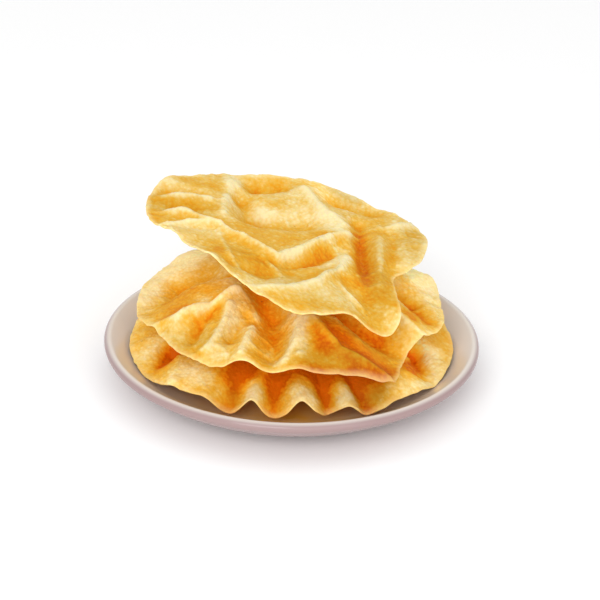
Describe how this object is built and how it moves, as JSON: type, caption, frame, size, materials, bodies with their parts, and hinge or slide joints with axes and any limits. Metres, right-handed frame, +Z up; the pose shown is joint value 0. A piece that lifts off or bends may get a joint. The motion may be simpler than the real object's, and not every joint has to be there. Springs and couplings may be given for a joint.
{
  "type": "stack of fried papads on a plate",
  "caption": "Thin round fried papads with ruffled rims, blistered and bent into uneven domes, piled loosely on a shallow round glazed plate with a rounded lip",
  "frame": {"origin": "on the table, under the middle of the plate", "axes": "+Z up through the stack, +X to the right and -Y towards the side the picture was taken from"},
  "size_m": [0.2298, 0.2298, 0.1018],
  "materials": {
    "plate_glaze": "glossy off-white glaze",
    "papad_bottom_crust": "dry, fine blisters, matte to satin",
    "papad_middle_crust": "dry, fine blisters, matte to satin",
    "papad_top_crust": "dry, fine blisters, matte to satin"
  },
  "bodies": {
    "root": {"plate": "plate_glaze", "papad_bottom": "papad_bottom_crust", "papad_middle": "papad_middle_crust", "papad_top": "papad_top_crust"}
  },
  "joints": []
}
